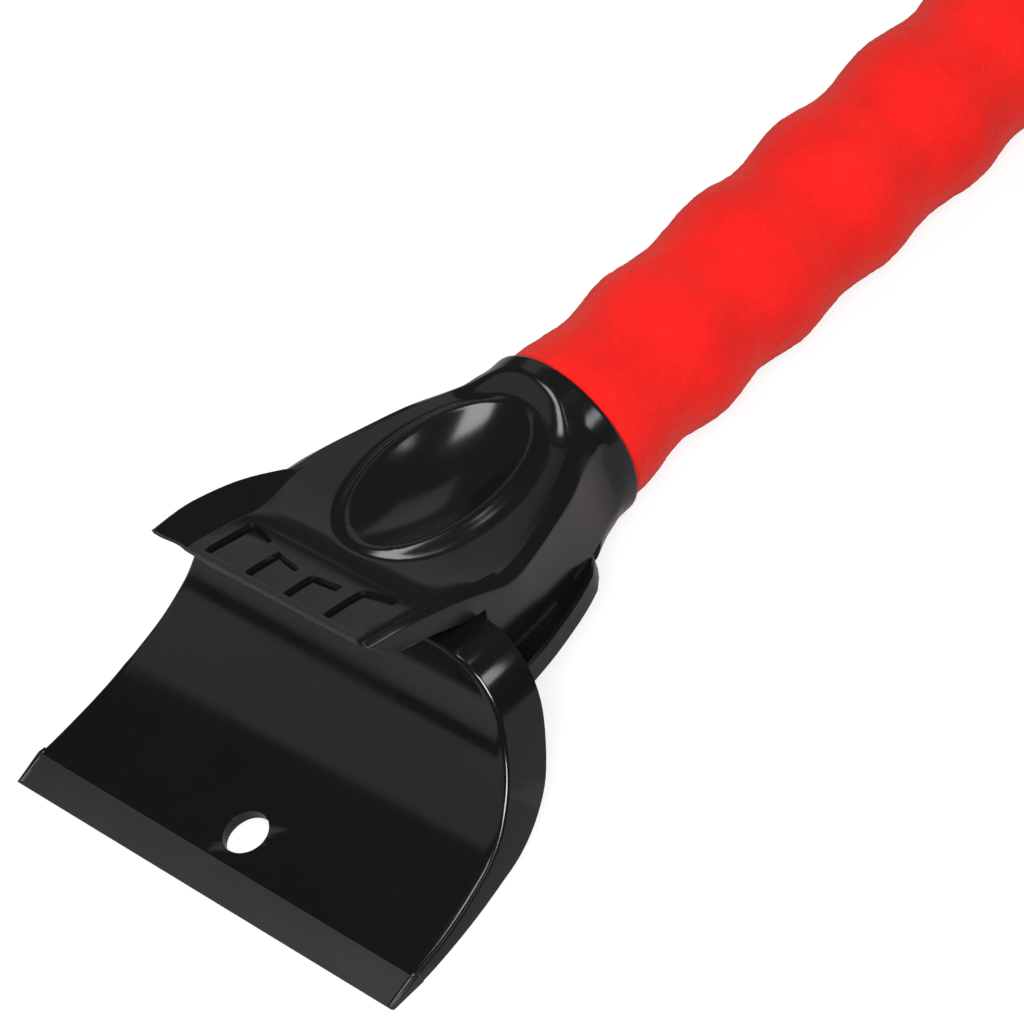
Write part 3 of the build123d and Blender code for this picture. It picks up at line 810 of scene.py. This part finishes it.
# Painted reflection: this finish's darker, bluer colour stands for a dark reflection in the window
# floors; its low roughness is a real polish.
recess_reflection_finish = plastic("polished_recess_painted_reflection", RECESS_PAINTED_REFLECTION, RUBBED_BLACK, 0.07, 0.2)
cover = piece("head_cover_moulding", head_cover(), cover_finish, recess_reflection_finish)
rounded_edges(cover, 0.2, 2, 40)
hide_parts("head_cover")


# ---- Cover screws and tube screw ----
# Zinc-plated steel self-tapping screws from below: four hold the cover on the tray, and a
# larger one through the collar pins the tube on the tongue.
def steel_material():
    """Zinc plating over steel, a little cloudy in its colour and its gloss."""
    made, tree, shader = new_material("plated_steel")
    place = tree.nodes.new("ShaderNodeTexCoord").outputs["Object"]
    cloud = node(tree, "ShaderNodeTexNoise", Scale=600, Detail=4)
    fine = node(tree, "ShaderNodeTexNoise", Scale=5000, Detail=2)
    for texture in (cloud, fine):
        join(tree, place, texture.inputs["Vector"])
    tone = spread(tree, cloud.outputs["Fac"], 0.3, 0.7, 0.0, 1.0)
    join(tree, colour_mix(tree, tone, (0.50, 0.50, 0.48, 1), (0.34, 0.34, 0.33, 1)),
         shader.inputs["Base Color"])
    join(tree, spread(tree, cloud.outputs["Fac"], 0.3, 0.7, 0.25, 0.42), shader.inputs["Roughness"])
    bump = node(tree, "ShaderNodeBump", Strength=0.3, Distance=0.00002)
    join(tree, fine.outputs["Fac"], bump.inputs["Height"])
    join(tree, bump.outputs["Normal"], shader.inputs["Normal"])
    shader.inputs["Metallic"].default_value = 1.0
    return made


steel = steel_material()
for name in ("cover_screws", "tube_screw"):
    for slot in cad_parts[name].material_slots:
        slot.material = steel


# ---- Handle tube ----
# Thin drawn aluminium tube under the foam, with faint lines along its length from the die.
# The foam is pushed onto it from behind, and the tube screw pins it in the head's collar.
def tube_material():
    """Bright aluminium with its colour and gloss streaked along the tube."""
    made, tree, shader = new_material("drawn_aluminium")
    place = tree.nodes.new("ShaderNodeTexCoord").outputs["Object"]
    mapping = node(tree, "ShaderNodeMapping", Scale=(0.02, 1, 1))
    join(tree, place, mapping.inputs["Vector"])
    lines = node(tree, "ShaderNodeTexNoise", Scale=2200, Detail=3)
    join(tree, mapping.outputs["Vector"], lines.inputs["Vector"])
    tone = spread(tree, lines.outputs["Fac"], 0.3, 0.7, 0.0, 1.0)
    join(tree, colour_mix(tree, tone, (0.78, 0.78, 0.79, 1), (0.62, 0.62, 0.63, 1)),
         shader.inputs["Base Color"])
    join(tree, spread(tree, lines.outputs["Fac"], 0.3, 0.7, 0.28, 0.45), shader.inputs["Roughness"])
    bump = node(tree, "ShaderNodeBump", Strength=0.2, Distance=0.00002)
    join(tree, lines.outputs["Fac"], bump.inputs["Height"])
    join(tree, bump.outputs["Normal"], shader.inputs["Normal"])
    shader.inputs["Metallic"].default_value = 1.0
    return made


aluminium = tube_material()
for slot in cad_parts["handle_tube"].material_slots:
    slot.material = aluminium


# ---- End cap ----
# Rounded cap in matt black plastic, its barbed plug pushed into the end of the tube. A shallow
# groove runs round its side.
CAP_START = 165.1
CAP_R = 17.5
CAP_CORNER = 7.0
CAP_LENGTH = 16
CAP_SIDE = ((0, 8.3), (0, 9.5), (0, 16.2), (0.25, 16.75), (0.85, 17.3), (1.5, 17.5), (3.6, 17.5),
            (3.8, 17.3), (4.3, 17.3), (4.5, 17.5), (7.0, 17.5))
PLUG_OUTLINE = ((-8, 0.02), (-8, 6.1), (-23.9, 6.1), (-23.9, 7.3), (-21.5, 8.25), (-20.5, 8.25),
                (-20.5, 7.5), (-0.1, 7.5), (-0.05, 8.0))
CAP_BLACK = (0.014, 0.014, 0.015, 1)


def end_cap():
    """Side, rounded corner, crowned end and hollow plug, spun round the handle's axis."""
    shape = bmesh.new()
    outline = [(CAP_START + x, r) for x, r in CAP_SIDE]
    rim_x = outline[-1][0]
    for k in range(1, 13):
        angle = radians(75) * k / 12
        outline.append((rim_x + CAP_CORNER * sin(angle), CAP_R - CAP_CORNER * (1 - cos(angle))))
    last_x, last_r = outline[-1]
    crown = CAP_START + CAP_LENGTH - last_x
    for k in range(1, 13):
        r = last_r * (1 - k / 12)
        outline.append((last_x + crown * (1 - (r / last_r)**2), max(r, 0.02)))
    outline += [(CAP_START + x, r) for x, r in PLUG_OUTLINE]
    turned_on_x(shape, outline, 120)
    return shape


cap = piece("end_cap_moulding", end_cap(), plastic("cap_black", CAP_BLACK, RUBBED_BLACK, 0.42, 0.3))
rounded_edges(cap, 0.15, 2, 30)
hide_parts("end_cap")


# ---- Floor, light and camera ----
# A pale studio table that runs out of sight, a large soft box in front, smaller boxes and two
# cards that draw the highlights in the glossy head, and a long lens looking down the tool.
TABLE_GAP = 0.0002
TABLE_GLOW = 0.72
LIGHTS_AIM = Vector((-30, 0, 10))
CAMERA_PLACE = Vector((-385.87, -572.32, 597.87))
CAMERA_LOOK = Vector((0.40537, 0.62883, -0.66351))
CAMERA_UP = Vector((0.61339, 0.35107, 0.70746))

floor_shape = bmesh.new()
bmesh.ops.create_grid(floor_shape, x_segments=1, y_segments=1, size=4.0)
table_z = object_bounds()[0][2] - TABLE_GAP
bmesh.ops.translate(floor_shape, verts=floor_shape.verts, vec=(0, 0, table_z))
floor_mesh = bpy.data.meshes.new("studio_table")
floor_shape.to_mesh(floor_mesh)
floor_shape.free()
floor = bpy.data.objects.new("studio_table", floor_mesh)
bpy.context.scene.collection.objects.link(floor)
floor_material, floor_tree, floor_shader = new_material("pale_table")
floor_shader.inputs["Base Color"].default_value = (0.42, 0.42, 0.42, 1)
floor_shader.inputs["Roughness"].default_value = 0.9
floor_shader.inputs["Specular IOR Level"].default_value = 0.0
floor_shader.inputs["Emission Color"].default_value = (1, 1, 1, 1)
# The table glows only towards the camera, so that it looks white and yet doesn't light the tool.
seen = floor_tree.nodes.new("ShaderNodeLightPath").outputs["Is Camera Ray"]
glow = arithmetic(floor_tree, "MULTIPLY", seen, TABLE_GLOW)
join(floor_tree, glow, floor_shader.inputs["Emission Strength"])
floor_mesh.materials.append(floor_material)

world = bpy.data.worlds.new("studio")
world.use_nodes = True
world.node_tree.nodes["Background"].inputs["Color"].default_value = (0.9, 0.93, 1.0, 1)
world.node_tree.nodes["Background"].inputs["Strength"].default_value = 0.06
bpy.context.scene.world = world


def soft_box(name, direction, distance, width, height, power):
    """Area light in handle millimetres, aimed at the head."""
    lamp = bpy.data.lights.new(name, "AREA")
    lamp.shape = "RECTANGLE"
    lamp.size, lamp.size_y = width / 1000, height / 1000
    lamp.energy = power
    holder = bpy.data.objects.new(name, lamp)
    bpy.context.scene.collection.objects.link(holder)
    target = FROM_HANDLE @ LIGHTS_AIM
    spot = FROM_HANDLE @ (LIGHTS_AIM + Vector(direction).normalized() * distance)
    aimed = (spot - target).to_track_quat("Z", "Y").to_matrix().to_4x4()
    holder.matrix_world = Matrix.Translation(spot) @ aimed


soft_box("front_box", (-0.41, -0.63, 0.66), 1400, 600, 500, 17)
soft_box("overhead_box", (-0.14, 0.16, 0.97), 1100, 420, 380, 3.8)
soft_box("bowl_box", (0.30, -0.28, 0.91), 1100, 130, 110, 0.22)
soft_box("collar_box", (0.41, -0.73, 0.56), 1100, 220, 200, 0.8)
soft_box("strip_box", (-0.12, -0.69, 0.66), 1100, 1300, 130, 1.6)
soft_box("plate_card", (-0.60, 0.63, 0.42), 1100, 1000, 820, 0.95)
soft_box("panel_card", (0.56, 0.62, 0.55), 1100, 460, 520, 0.28)

lens = bpy.data.cameras.new("long_lens")
lens.sensor_width = 36
lens.lens = 175.3
lens.clip_start, lens.clip_end = 0.01, 20
camera = bpy.data.objects.new("long_lens", lens)
bpy.context.scene.collection.objects.link(camera)
turn = FROM_HANDLE.to_3x3()
back = -(turn @ CAMERA_LOOK).normalized()
up = (turn @ CAMERA_UP).normalized()
right = up.cross(back).normalized()
held = Matrix((right, back.cross(right), back)).transposed().to_4x4()
camera.matrix_world = Matrix.Translation(FROM_HANDLE @ CAMERA_PLACE) @ held
bpy.context.scene.camera = camera
bpy.context.scene.view_settings.view_transform = "Standard"
